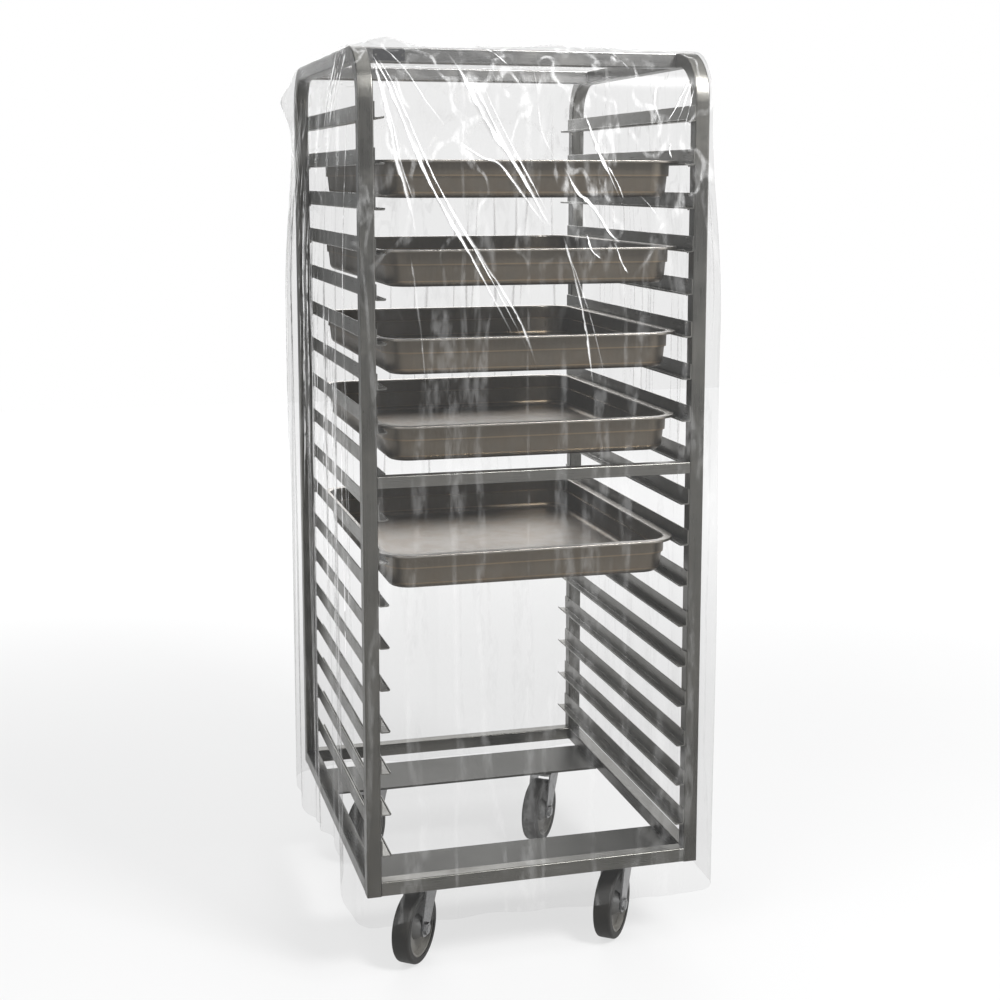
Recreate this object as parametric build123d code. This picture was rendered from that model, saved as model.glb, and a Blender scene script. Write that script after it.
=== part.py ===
"""Mobile tray rack with deep pans and a film cover, built up from separate pieces, in millimetres.

+X is the rack's right, the front is at -Y and +Z is up.
The origin is on the floor, under the middle of the frame.
"""

from build123d import *
import os
from math import radians, tan

# Pans: the standard tray size that everything else is built round
PAN_WIDTH = 530.0  # over the rim, across the rack
PAN_LENGTH = 650.0  # over the rim, front to back
PAN_DROP = 57.0  # from the rails' lips down to the pan's floor, outside
PAN_SHEET = 1.2
PAN_RIM_WIDTH = 15.0  # rim edge to the body's outer wall
PAN_RIM_HEIGHT = 4.0
PAN_CORNER = 45.0  # body's corner radius seen from above
PAN_SHOULDER_DROP = 22.0  # lips down to the step in the wall
PAN_SHOULDER_STEP = 3.0
PAN_UPPER_TAPER = 1.5  # degrees
PAN_LOWER_TAPER = 6.0  # degrees
PAN_FLOOR_RADIUS = 12.0
PAN_MOUTH_RADIUS = 2.4  # inside edge, where the wall turns out into the rim
PAN_LEVELS = (2, 4, 6, 8, 11)  # counted from the top

# Room left round a pan
PAN_SIDE_GAP = 7.0
PAN_FRONT_GAP = 12.0
PAN_REAR_GAP = 32.0
PAN_REST_GAP = 0.3

# Levels
LEVEL_COUNT = 18
LEVEL_PITCH = 72.0
FIRST_LEDGE_RISE = 72.0  # underside of the frame to the lowest ledge
HEADROOM = 116.0  # top ledge to the top of the arches

# Square tube of the frame
TUBE = 25.0
TUBE_WALL = 1.5
TUBE_CORNER = 2.5
BEND_RADIUS = 72.5  # on the tube's centre line
TOP_BAR_SETBACK = 95.0  # front face of the frame to the face of the top bar
CAP_SHEET = 2.0
CAP_SLACK = 0.2

# Brace across the front, level with one pair of ledges
BRACE_LEVEL = 9
BRACE_TUBE = 20.0
BRACE_CORNER = 2.0
BRACE_WALL = 1.5

# Ledge rails
RAIL_SHEET = 2.0
RAIL_REACH = 17.5  # from the post's face to the tip of the ledge
RAIL_LEG = 25.0  # above the ledge
RAIL_LIP = 2.0  # above the ledge; the pans' rims rest on it
RAIL_BEND = 2.8
RAIL_INNER_BEND = 1.0
RAIL_EDGE = 0.8
RAIL_END_INSET = 1.0  # short of the frame's front and rear faces

# Decks that carry the castors
DECK_SHEET = 4.0
DECK_WIDTH = 135.0
REAR_DECK_GAP = 53.0  # behind the rear deck, up to the rear tube

# Castors
WHEEL_DIAMETER = 125.0
TREAD_WIDTH = 32.0
TREAD_DEPTH = 12.5
TREAD_ROUND = 5.0
RIM_DEPTH = 6.0
RIM_WIDTH = 29.0
WEB_WIDTH = 9.0
BOSS_RADIUS = 15.0
AXLE_RADIUS = 6.0
RUNNING_FIT = 0.05
HUB_SIDE_GAP = 0.5
FORK_SHEET = 3.0
FORK_ROUND = 15.0
FORK_TREAD_GAP = 3.0
CROWN_SHEET = 4.0
CROWN_HALF = 31.0
CROWN_CORNER = 10.0
FORK_NECK = 26.0
CASTOR_TRAIL = 35.0
CASTOR_HEADING = 53.0  # degrees, turned from trailing towards -X
CASTOR_SIDE_INSET = 90.0  # arch's inner face to the swivel's axis
WHEEL_ROOM = 4.0  # tread up to the king pin's head
PIN_RADIUS = 8.0
PIN_HEAD_RADIUS = 13.0
PIN_HEAD = 3.7
SWIVEL_GAP = 0.3
RACE_HEIGHT = 11.7
RACE_OUTER = 30.0
RACE_WALL = 20.0
RACE_ROUND = 3.0
MOUNT_PLATE = (105.0, 85.0, 4.0)
MOUNT_PLATE_CORNER = 9.0
STUD_SPACING = (80.0, 60.0)
STUD_RADIUS = 4.0
STUD_HOLE_RADIUS = 4.5
STUD_TAIL = 2.0
NUT_ACROSS_FLATS = 13.0
NUT_HEIGHT = 6.5
AXLE_HEAD_ACROSS = 19.0
AXLE_HEAD = 6.0  # fork's outer face to the bolt's end
AXLE_HEXAGON = 5.0

# Name plate, left blank
PLATE_SIZE = (52.0, 1.2, 18.0)
PLATE_CORNER = 1.5
PLATE_END_INSET = 19.0
RIVET_RADIUS = 1.6
RIVET_HEAD = 0.9
RIVET_INSET = 4.0

# Film cover, thicker than the real film
COVER_SHEET = 1.0
COVER_SIDE_GAP = 27.0
COVER_END_GAP = 45.0
COVER_HEADROOM = 22.0
COVER_SKIRT = 42.0  # below the underside of the frame
COVER_CORNER = 45.0
COVER_SHOULDER = 60.0

# How round pieces stand on, or hang from, the point they are placed at
STANDING = (Align.CENTER, Align.CENTER, Align.MIN)
HANGING = (Align.CENTER, Align.CENTER, Align.MAX)

# Worked out from the sizes above
CLEAR_WIDTH = PAN_WIDTH + 2 * PAN_SIDE_GAP
FRAME_DEPTH = PAN_LENGTH + PAN_FRONT_GAP + PAN_REAR_GAP
POST_FACE = CLEAR_WIDTH / 2
FRONT = -FRAME_DEPTH / 2
REAR = FRAME_DEPTH / 2
PAN_MIDDLE = FRONT + PAN_FRONT_GAP + PAN_LENGTH / 2
AXLE_HEIGHT = WHEEL_DIAMETER / 2
CROWN_BOTTOM = WHEEL_DIAMETER + WHEEL_ROOM + PIN_HEAD + SWIVEL_GAP
RACE_BOTTOM = CROWN_BOTTOM + CROWN_SHEET + SWIVEL_GAP
MOUNT_PLATE_BOTTOM = RACE_BOTTOM + RACE_HEIGHT
FRAME_BOTTOM = MOUNT_PLATE_BOTTOM + MOUNT_PLATE[2]
FRAME_TOP = FRAME_BOTTOM + FIRST_LEDGE_RISE + (LEVEL_COUNT - 1) * LEVEL_PITCH + HEADROOM
FORK_INSIDE = TREAD_WIDTH + 2 * FORK_TREAD_GAP
FRONT_DECK_MIDDLE = FRONT + TUBE + DECK_WIDTH / 2
REAR_DECK_MIDDLE = REAR - TUBE - REAR_DECK_GAP - DECK_WIDTH / 2
CASTOR_SIDE = POST_FACE - CASTOR_SIDE_INSET
CASTOR_PLACES = {
    "front_left": (-CASTOR_SIDE, FRONT_DECK_MIDDLE),
    "front_right": (CASTOR_SIDE, FRONT_DECK_MIDDLE),
    "rear_left": (-CASTOR_SIDE, REAR_DECK_MIDDLE),
    "rear_right": (CASTOR_SIDE, REAR_DECK_MIDDLE),
}


def ledge_height(level):
    """Height of the top face of a level's ledges, with level 1 at the top."""
    return FRAME_BOTTOM + FIRST_LEDGE_RISE + (LEVEL_COUNT - level) * LEVEL_PITCH


def square_tube(length, side=TUBE, corner=TUBE_CORNER, wall=TUBE_WALL):
    """Square tube along X, centred on the origin."""
    section = RectangleRounded(side, side, corner)
    section -= RectangleRounded(side - 2 * wall, side - 2 * wall, corner - wall)
    return extrude(Plane.YZ * section, amount=length / 2, both=True)


def side_arch(x):
    """One tube bent round from the front post over the top to the rear post."""
    inset = TUBE / 2
    route = FilletPolyline(
        (x, FRONT + inset, FRAME_BOTTOM),
        (x, FRONT + inset, FRAME_TOP - inset),
        (x, REAR - inset, FRAME_TOP - inset),
        (x, REAR - inset, FRAME_BOTTOM),
        radius=BEND_RADIUS,
    )
    section = RectangleRounded(TUBE, TUBE, TUBE_CORNER)
    section -= RectangleRounded(TUBE - 2 * TUBE_WALL, TUBE - 2 * TUBE_WALL, TUBE_CORNER - TUBE_WALL)
    return sweep(Plane(route @ 0, x_dir=(1, 0, 0), z_dir=(0, 0, 1)) * section, path=route)


def post_end_caps():
    """Four square caps welded into the posts' lower ends."""
    inside = TUBE - 2 * TUBE_WALL - 2 * CAP_SLACK
    cap = extrude(RectangleRounded(inside, inside, TUBE_CORNER - TUBE_WALL), amount=CAP_SHEET)
    across = POST_FACE + TUBE / 2
    along = REAR - TUBE / 2
    return [Pos(x, y, FRAME_BOTTOM) * cap for x in (-across, across) for y in (-along, along)]


def cross_tube(y):
    """Bottom tube between the two arches, with its middle at y."""
    return Pos(0, y, FRAME_BOTTOM + TUBE / 2) * square_tube(CLEAR_WIDTH)


def side_tube(x):
    """Bottom tube between the two posts of one arch."""
    return Pos(x, 0, FRAME_BOTTOM + TUBE / 2) * (Rot(0, 0, 90) * square_tube(FRAME_DEPTH - 2 * TUBE))


def top_bar(y):
    """Top tube between the two arches, with its middle at y."""
    return Pos(0, y, FRAME_TOP - TUBE / 2) * square_tube(CLEAR_WIDTH)


def mid_brace():
    """Smaller tube across the front, its top face level with a pair of ledges."""
    tube = square_tube(CLEAR_WIDTH, BRACE_TUBE, BRACE_CORNER, BRACE_WALL)
    return Pos(0, FRONT + BRACE_TUBE / 2, ledge_height(BRACE_LEVEL) - BRACE_TUBE / 2) * tube


def castor_deck(y):
    """Sheet between the bottom side tubes, flush with the frame's underside."""
    return Pos(0, y, FRAME_BOTTOM + DECK_SHEET / 2) * Box(CLEAR_WIDTH, DECK_WIDTH, DECK_SHEET)


def rail_profile():
    """J section of a rail: x runs from the post's face towards the pan and y is above the ledge."""
    inner = RAIL_REACH - RAIL_SHEET
    outline = [
        (0, RAIL_LEG),
        (RAIL_SHEET, RAIL_LEG),
        (RAIL_SHEET, 0),
        (inner, 0),
        (inner, RAIL_LIP),
        (RAIL_REACH, RAIL_LIP),
        (RAIL_REACH, -RAIL_SHEET),
        (0, -RAIL_SHEET),
    ]
    profile = make_face(Polyline(*outline, close=True))
    radii = {0: RAIL_EDGE, 1: RAIL_EDGE, 2: RAIL_INNER_BEND, 3: RAIL_INNER_BEND}
    radii |= {4: RAIL_EDGE, 5: RAIL_EDGE, 6: RAIL_BEND, 7: RAIL_BEND}
    for number, radius in radii.items():
        corner = profile.vertices().sort_by_distance((*outline[number], 0))[0]
        profile = fillet(corner, radius)
    return profile


def rail_pair(level):
    """Left and right ledge rails of one level. The pair at the brace starts behind it."""
    front = FRONT + RAIL_END_INSET
    if level == BRACE_LEVEL:
        front += BRACE_TUBE
    section = Plane((-POST_FACE, front, ledge_height(level)), (1, 0, 0), (0, -1, 0))
    left = extrude(section * rail_profile(), amount=front - REAR + RAIL_END_INSET)
    return [left, mirror(left, about=Plane.YZ)]


def tapered_block(width, length, corner, top, bottom, taper):
    """Block with rounded corners that narrows downwards from top to bottom."""
    lean = (top - bottom) * tan(radians(taper))
    upper = Pos(0, 0, top) * RectangleRounded(width, length, corner)
    lower = Pos(0, 0, bottom) * RectangleRounded(width - 2 * lean, length - 2 * lean, corner - lean)
    return loft([upper, lower])


def pan_body(inset, top):
    """The filled shape of a pan's body, with its walls and floor moved in by inset."""
    width = PAN_WIDTH - 2 * PAN_RIM_WIDTH - 2 * inset
    length = PAN_LENGTH - 2 * PAN_RIM_WIDTH - 2 * inset
    corner = PAN_CORNER - inset
    shoulder = -PAN_SHOULDER_DROP + inset
    floor = -PAN_DROP + inset
    upper = tapered_block(width, length, corner, top, shoulder, PAN_UPPER_TAPER)
    lean = (top - shoulder) * tan(radians(PAN_UPPER_TAPER)) + PAN_SHOULDER_STEP
    lower = tapered_block(
        width - 2 * lean, length - 2 * lean, corner - lean, shoulder, floor, PAN_LOWER_TAPER
    )
    rounded = fillet(lower.faces().sort_by(Axis.Z)[0].edges(), PAN_FLOOR_RADIUS - inset)
    return upper + rounded


def pan_rim():
    """Flat rim with its outer edge turned down on to the rails' lips."""
    top = PAN_REST_GAP + PAN_RIM_HEIGHT
    corner = PAN_CORNER + PAN_RIM_WIDTH
    block = extrude(RectangleRounded(PAN_WIDTH, PAN_LENGTH, corner), amount=PAN_RIM_HEIGHT)
    block = fillet(block.faces().sort_by(Axis.Z)[-1].edges(), PAN_SHEET)
    hollow = extrude(
        RectangleRounded(PAN_WIDTH - 2 * PAN_SHEET, PAN_LENGTH - 2 * PAN_SHEET, corner - PAN_SHEET),
        amount=PAN_RIM_HEIGHT - PAN_SHEET,
    )
    return Pos(0, 0, top - PAN_RIM_HEIGHT) * (block - hollow)


def pan():
    """Deep pan over the origin, with z = 0 at the lips that it rests on."""
    top = PAN_REST_GAP + PAN_RIM_HEIGHT
    shell = pan_rim() + pan_body(0, top - PAN_SHEET)
    shell -= pan_body(PAN_SHEET, top)
    mouth = (PAN_WIDTH / 2 - PAN_RIM_WIDTH, PAN_LENGTH / 2 - PAN_RIM_WIDTH)
    inside = [
        edge
        for edge in shell.edges().filter_by_position(Axis.Z, top - PAN_REST_GAP, top + PAN_REST_GAP)
        if abs(edge.center().X) < mouth[0] and abs(edge.center().Y) < mouth[1]
    ]
    return fillet(inside, PAN_MOUTH_RADIUS)


def mount_plate():
    """Castor's top plate with its fixed king pin, over the origin."""
    width, length, sheet = MOUNT_PLATE
    plate = extrude(RectangleRounded(width, length, MOUNT_PLATE_CORNER), amount=sheet)
    holes = GridLocations(*STUD_SPACING, 2, 2) * Cylinder(STUD_HOLE_RADIUS, sheet, align=STANDING)
    body = Pos(0, 0, MOUNT_PLATE_BOTTOM) * (plate - holes)
    head = CROWN_BOTTOM - SWIVEL_GAP - PIN_HEAD
    body += Pos(0, 0, head) * Cylinder(PIN_RADIUS, MOUNT_PLATE_BOTTOM - head, align=STANDING)
    body += Pos(0, 0, head) * Cylinder(PIN_HEAD_RADIUS, PIN_HEAD, align=STANDING)
    return body


def swivel_race():
    """Closed ball race between the top plate and the fork's crown."""
    ring = Cylinder(RACE_OUTER, RACE_HEIGHT, align=STANDING)
    ring = fillet(ring.faces().sort_by(Axis.Z)[0].edges(), RACE_ROUND)
    ring -= Cylinder(RACE_OUTER - RACE_WALL, RACE_HEIGHT, align=STANDING)
    return Pos(0, 0, RACE_BOTTOM) * ring


def fork_leg():
    """Outline of a fork leg in the XZ plane, from the crown down to the axle, with its axle hole."""
    eye = Pos(-CASTOR_TRAIL, AXLE_HEIGHT) * Circle(FORK_ROUND)
    neck = Pos(0, CROWN_BOTTOM + CROWN_SHEET / 2) * Rectangle(2 * FORK_NECK, CROWN_SHEET)
    leg = make_hull((eye + neck).edges())
    return leg - Pos(-CASTOR_TRAIL, AXLE_HEIGHT) * Circle(AXLE_RADIUS)


def fork():
    """Crown and two legs, trailing towards -X."""
    span = FORK_INSIDE + 2 * FORK_SHEET
    crown = extrude(RectangleRounded(2 * CROWN_HALF, span, CROWN_CORNER), amount=CROWN_SHEET)
    body = Pos(0, 0, CROWN_BOTTOM) * crown
    for side in (-1, 1):
        face = Plane((0, side * (span / 2 - FORK_SHEET / 2), 0), (1, 0, 0), (0, -1, 0))
        body += extrude(face * fork_leg(), amount=FORK_SHEET / 2, both=True)
    body -= Pos(0, 0, CROWN_BOTTOM) * Cylinder(PIN_RADIUS + RUNNING_FIT, CROWN_SHEET, align=STANDING)
    return body


def axle():
    """Axle bolt with its head and its nut outside the fork's legs."""
    half = FORK_INSIDE / 2 + FORK_SHEET
    side = Plane((-CASTOR_TRAIL, 0, AXLE_HEIGHT), (1, 0, 0), (0, -1, 0))
    bolt = extrude(side * Circle(AXLE_RADIUS), amount=half + AXLE_HEAD, both=True)
    hexagon = RegularPolygon(AXLE_HEAD_ACROSS / 2, 6, major_radius=False)
    for start, push in ((half, AXLE_HEXAGON), (-half, -AXLE_HEXAGON)):
        bolt += extrude(side.offset(start) * hexagon, amount=push)
    return bolt


def wheel_ring(outline):
    """Outline of (half width, radius) pairs, mirrored to both sides and turned round the axle."""
    points = outline + [(-half, radius) for half, radius in reversed(outline)]
    section = Plane((-CASTOR_TRAIL, 0, AXLE_HEIGHT), (0, 1, 0), (-1, 0, 0)) * make_face(
        Polyline(*points, close=True)
    )
    return revolve(section, Axis((-CASTOR_TRAIL, 0, AXLE_HEIGHT), (0, 1, 0)))


def hub():
    """Wheel centre: boss, web and rim."""
    boss = FORK_INSIDE / 2 - HUB_SIDE_GAP
    rim_outer = AXLE_HEIGHT - TREAD_DEPTH
    rim_inner = rim_outer - RIM_DEPTH
    return wheel_ring(
        [
            (boss, AXLE_RADIUS + RUNNING_FIT),
            (boss, BOSS_RADIUS),
            (WEB_WIDTH / 2, BOSS_RADIUS + (boss - WEB_WIDTH / 2) / 2),
            (WEB_WIDTH / 2, rim_inner),
            (RIM_WIDTH / 2, rim_inner + RIM_DEPTH / 3),
            (RIM_WIDTH / 2, rim_outer),
        ]
    )


def tyre():
    """Rubber tread round the rim, with rounded shoulders."""
    rim = AXLE_HEIGHT - TREAD_DEPTH
    ring = wheel_ring([(TREAD_WIDTH / 2, rim), (TREAD_WIDTH / 2, AXLE_HEIGHT)])
    shoulders = [
        edge for edge in ring.edges().filter_by(GeomType.CIRCLE) if edge.radius > rim + TREAD_DEPTH / 2
    ]
    return fillet(shoulders, TREAD_ROUND)


def studs():
    """Weld studs under one deck with their nuts, round the origin."""
    tail = MOUNT_PLATE[2] + NUT_HEIGHT + STUD_TAIL
    nut = extrude(RegularPolygon(NUT_ACROSS_FLATS / 2, 6, major_radius=False), amount=-NUT_HEIGHT)
    stud = Cylinder(STUD_RADIUS, tail, align=HANGING) + Pos(0, 0, -MOUNT_PLATE[2]) * nut
    return [Pos(0, 0, FRAME_BOTTOM) * place * stud for place in GridLocations(*STUD_SPACING, 2, 2)]


def name_plate():
    """Blank plate on the front top bar, and its two rivets."""
    width, sheet, height = PLATE_SIZE
    left = -POST_FACE + PLATE_END_INSET
    face = Plane(
        (left + width / 2, FRONT + TOP_BAR_SETBACK, FRAME_TOP - TUBE / 2), (1, 0, 0), (0, -1, 0)
    )
    plate = extrude(face * RectangleRounded(width, height, PLATE_CORNER), amount=sheet)
    spots = [Pos(side * (width / 2 - RIVET_INSET), 0) for side in (-1, 1)]
    head = face.offset(sheet)
    return plate, [extrude(head * spot * Circle(RIVET_RADIUS), amount=RIVET_HEAD) for spot in spots]


def cover():
    """Film cover: closed at the top, open below, clear of the frame all round."""
    width = CLEAR_WIDTH + 2 * TUBE + 2 * COVER_SIDE_GAP
    depth = FRAME_DEPTH + 2 * COVER_END_GAP
    hem = FRAME_BOTTOM - COVER_SKIRT
    height = FRAME_TOP + COVER_HEADROOM - hem

    def bell(inset):
        sheet = RectangleRounded(width - 2 * inset, depth - 2 * inset, COVER_CORNER - inset)
        block = extrude(sheet, amount=height - inset)
        return fillet(block.faces().sort_by(Axis.Z)[-1].edges(), COVER_SHOULDER - inset)

    return Pos(0, 0, hem) * (bell(0) - bell(COVER_SHEET))


def frame_parts():
    """The welded frame's pieces by name."""
    plate, rivets = name_plate()
    side = POST_FACE + TUBE / 2
    bar = FRONT + TOP_BAR_SETBACK + TUBE / 2
    parts = {
        "left_arch": side_arch(-side),
        "right_arch": side_arch(side),
        "post_end_caps": post_end_caps(),
        "front_top_bar": top_bar(bar),
        "rear_top_bar": top_bar(-bar),
        "front_mid_brace": mid_brace(),
        "front_bottom_tube": cross_tube(FRONT + TUBE / 2),
        "rear_bottom_tube": cross_tube(REAR - TUBE / 2),
        "left_bottom_tube": side_tube(-side),
        "right_bottom_tube": side_tube(side),
        "front_castor_deck": castor_deck(FRONT_DECK_MIDDLE),
        "rear_castor_deck": castor_deck(REAR_DECK_MIDDLE),
        "name_plate": plate,
        "name_plate_rivets": rivets,
    }
    for level in range(1, LEVEL_COUNT + 1):
        parts[f"rails_{level:02d}"] = rail_pair(level)
    return parts


def pan_parts():
    """One pan on each loaded level."""
    one = pan()
    return {
        f"pan_{level:02d}": Pos(0, PAN_MIDDLE, ledge_height(level) + RAIL_LIP) * one
        for level in PAN_LEVELS
    }


def castor_parts():
    """Four castors, with all their studs and all their races grouped."""
    moving = {"fork": fork(), "axle": axle(), "hub": hub(), "tyre": tyre()}
    plate, race = mount_plate(), swivel_race()
    parts = {"castor_studs": [], "swivel_races": []}
    for name, (x, y) in CASTOR_PLACES.items():
        place = Pos(x, y, 0)
        parts[f"{name}_castor_plate"] = place * plate
        for piece, shape in moving.items():
            parts[f"{name}_{piece}"] = place * (Rot(0, 0, CASTOR_HEADING) * shape)
        parts["castor_studs"] += [place * stud for stud in studs()]
        parts["swivel_races"].append(place * race)
    return parts


def main():
    """Writes every piece to parts/ under its own name."""
    os.makedirs("parts", exist_ok=True)
    parts = frame_parts() | pan_parts() | castor_parts() | {"film_cover": cover()}
    for name, shape in parts.items():
        solids = shape if isinstance(shape, list) else [shape]
        export_step(Compound(children=solids), f"parts/{name}.step")
    print(f"{len(parts)} nodes, frame underside at {FRAME_BOTTOM:.1f}, top at {FRAME_TOP:.1f}")


main()
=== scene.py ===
"""Looks of a mobile tray rack under a loose film cover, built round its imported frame."""

import logging
import math
from dataclasses import dataclass
from enum import Enum
from typing import Any, Callable, Iterable

import bpy
from mathutils import Euler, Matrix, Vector, noise


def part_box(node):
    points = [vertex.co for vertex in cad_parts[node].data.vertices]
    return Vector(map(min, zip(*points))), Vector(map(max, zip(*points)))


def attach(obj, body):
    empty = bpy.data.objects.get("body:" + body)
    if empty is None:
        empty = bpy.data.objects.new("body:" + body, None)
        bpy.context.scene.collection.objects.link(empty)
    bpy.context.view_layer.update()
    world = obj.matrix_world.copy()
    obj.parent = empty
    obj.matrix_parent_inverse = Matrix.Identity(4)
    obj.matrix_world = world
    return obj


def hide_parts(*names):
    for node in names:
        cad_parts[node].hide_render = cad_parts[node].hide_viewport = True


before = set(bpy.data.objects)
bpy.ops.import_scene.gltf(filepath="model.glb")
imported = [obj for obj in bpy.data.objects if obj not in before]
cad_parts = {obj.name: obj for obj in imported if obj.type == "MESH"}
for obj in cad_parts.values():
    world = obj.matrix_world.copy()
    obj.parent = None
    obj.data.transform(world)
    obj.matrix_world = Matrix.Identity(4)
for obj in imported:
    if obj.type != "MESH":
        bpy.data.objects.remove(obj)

LOG = logging.getLogger("rack")
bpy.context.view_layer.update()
Point = tuple[float, float, float]
Colour = tuple[float, float, float]
GOLDEN = (math.sqrt(5) - 1) / 2  # spreads what repeats without a visible rhythm
TOUCH = 1e-6  # metres within which a point counts as lying on an edge


class Run(Enum):
    """Which way the grain of ground or rolled metal runs."""

    ACROSS = (0.012, 1.0, 1.0)
    DEEP = (1.0, 0.012, 1.0)
    UPRIGHT = (1.0, 1.0, 0.012)


class Castor(Enum):
    """The four corners that a castor stands at."""

    FRONT_LEFT = "front_left"
    FRONT_RIGHT = "front_right"
    REAR_LEFT = "rear_left"
    REAR_RIGHT = "rear_right"


class Wall(Enum):
    """The film bag's four walls."""

    FRONT = "front"
    BACK = "back"
    LEFT = "left"
    RIGHT = "right"


# ---------------------------------------------------------------- shader maths


class Signal:
    """One shader socket that takes part in Python arithmetic."""

    def __init__(self, graph: "Graph", socket: Any) -> None:
        """Wraps an output socket of the graph."""
        self.graph = graph
        self.socket = socket

    def _maths(self, operation: str, first: Any, second: Any) -> "Signal":
        """Adds one Math node.

        Args:
            operation: the Math node's operation.
            first: its first input, a Signal or a number.
            second: its second input, a Signal or a number.

        Returns:
            The node's output.
        """
        return self.graph.node("ShaderNodeMath", {"operation": operation}, {0: first, 1: second})

    def __add__(self, other: Any) -> "Signal":
        """Returns self + other."""
        return self._maths("ADD", self, other)

    def __radd__(self, other: Any) -> "Signal":
        """Returns other + self."""
        return self._maths("ADD", other, self)

    def __sub__(self, other: Any) -> "Signal":
        """Returns self - other."""
        return self._maths("SUBTRACT", self, other)

    def __rsub__(self, other: Any) -> "Signal":
        """Returns other - self."""
        return self._maths("SUBTRACT", other, self)

    def __mul__(self, other: Any) -> "Signal":
        """Returns self * other."""
        return self._maths("MULTIPLY", self, other)

    def __rmul__(self, other: Any) -> "Signal":
        """Returns other * self."""
        return self._maths("MULTIPLY", other, self)

    def __pow__(self, other: Any) -> "Signal":
        """Returns self to the power other."""
        return self._maths("POWER", self, other)

    def above(self, low: float, high: float) -> "Signal":
        """Returns 0 below low, 1 above high and a smooth step between them."""
        return self.graph.node(
            "ShaderNodeMapRange",
            {"interpolation_type": "SMOOTHSTEP"},
            {"Value": self, "From Min": low, "From Max": high},
        )

    def clamped(self) -> "Signal":
        """Returns the value held between 0 and 1."""
        return self.graph.node("ShaderNodeClamp", {}, {"Value": self})


class Graph:
    """The node tree of one material, and the calls that build it."""

    def __init__(self, name: str) -> None:
        """Starts an empty material with one Principled shader on its output."""
        self.material = bpy.data.materials.new(name)
        self.material.use_nodes = True
        self.tree = self.material.node_tree
        self.tree.nodes.clear()
        self.shader = self.tree.nodes.new("ShaderNodeBsdfPrincipled")
        output = self.tree.nodes.new("ShaderNodeOutputMaterial")
        self.tree.links.new(self.shader.outputs[0], output.inputs[0])

    def node(
        self, kind: str, settings: dict[str, Any], inputs: dict[Any, Any], output: Any = 0
    ) -> Signal:
        """Adds any node.

        Args:
            kind: the node's type.
            settings: its properties, such as a Math node's operation, which are set first.
            inputs: its inputs by name or number, each a Signal or a plain value.
            output: the output that is wanted, by name or number.

        Returns:
            That output.
        """
        made = self.tree.nodes.new(kind)
        for key, value in settings.items():
            setattr(made, key, value)
        for key, value in inputs.items():
            self.feed(made.inputs[key], value)
        return Signal(self, made.outputs[output])

    def feed(self, socket: Any, value: Any) -> None:
        """Links a Signal to an input, or sets a plain value on it."""
        if isinstance(value, Signal):
            self.tree.links.new(value.socket, socket)
        elif isinstance(value, tuple) and len(value) == 3 and socket.type == "RGBA":
            socket.default_value = (*value, 1.0)
        else:
            socket.default_value = value

    def surface(self, **inputs: Any) -> None:
        """Sets the Principled shader's inputs, named with underscores for spaces."""
        for key, value in inputs.items():
            self.feed(self.shader.inputs[key.replace("_", " ")], value)

    def place(self, stretch: Point = (1.0, 1.0, 1.0), turn: Point = (0.0, 0.0, 0.0)) -> Signal:
        """Returns the object's own coordinates, stretched and turned."""
        spot = self.node("ShaderNodeTexCoord", {}, {}, "Object")
        return self.node(
            "ShaderNodeMapping", {}, {"Vector": spot, "Scale": stretch, "Rotation": turn}
        )

    def height(self) -> Signal:
        """Returns the height above the floor in metres."""
        spot = self.node("ShaderNodeTexCoord", {}, {}, "Object")
        return self.node("ShaderNodeSeparateXYZ", {}, {0: spot}, "Z")

    def grain(self, scale: float, detail: float = 3.0, rough: float = 0.55, **where: Any) -> Signal:
        """Returns noise between 0 and 1 at a scale in features per metre."""
        return self.node(
            "ShaderNodeTexNoise",
            {},
            {"Vector": self.place(**where), "Scale": scale, "Detail": detail, "Roughness": rough},
        )

    def blend(self, factor: Any, first: Any, second: Any) -> Signal:
        """Returns a colour mixed from first to second by factor."""
        return self.node("ShaderNodeMix", {"data_type": "RGBA"}, {0: factor, 6: first, 7: second}, 2)

    def bump(self, height: Signal, distance: float, strength: float = 1.0) -> Signal:
        """Returns a normal raised by height times distance, in metres."""
        return self.node(
            "ShaderNodeBump",
            {},
            {"Height": height, "Distance": distance, "Strength": strength},
        )


# -------------------------------------------------------------------- finishes


@dataclass(frozen=True)
class GroundSteel:
    """Satin stainless steel, ground in one direction, with hand marks and dull patches, and painted light
    that makes it lighter towards the top.
    """

    name: str
    run: Run
    light: Colour = (0.19, 0.187, 0.174)
    dark: Colour = (0.058, 0.056, 0.05)
    roughness: float = 0.29
    dulled: Colour = (0.11, 0.10, 0.085)
    turns_over_at: float | None = None  # height where upright grain turns to run front to back

    def make(self) -> bpy.types.Material:
        """Returns the material."""
        g = Graph(self.name)
        fine = g.grain(900.0, 2.0, stretch=self.run.value)
        if self.turns_over_at is not None:
            over = g.height().above(self.turns_over_at - 0.03, self.turns_over_at + 0.01)
            along = g.grain(900.0, 2.0, stretch=Run.DEEP.value)
            fine = fine * (1 - over) + along * over
        broad = g.grain(60.0, 3.0, stretch=tuple(math.sqrt(s) for s in self.run.value))
        smudge = g.grain(9.0, 5.0, 0.6)
        wipe = g.grain(26.0, 4.0, 0.62, turn=(0.4, 0.9, 0.2))
        # Painted light: the steel's tone is painted lighter with height, from 0.1 m to 1.5 m above the
        # floor.
        painted_top_light = g.height().above(0.1, 1.5)
        tone = (fine * 0.45 + broad * 0.25 + smudge * 0.55 + painted_top_light * 0.5 - 0.5).clamped()
        dull = (wipe * 0.6 + smudge * 0.6).above(0.5, 0.85)
        base = g.blend(tone, self.dark, self.light)
        g.surface(
            Base_Color=g.blend(dull * 0.35, base, self.dulled),
            Metallic=1.0 - dull * 0.12,
            Roughness=(self.roughness - 0.08 + fine * 0.16 + dull * 0.14).clamped(),
            Normal=g.bump(fine, 0.00006, 0.55),
        )
        return g.material


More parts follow.
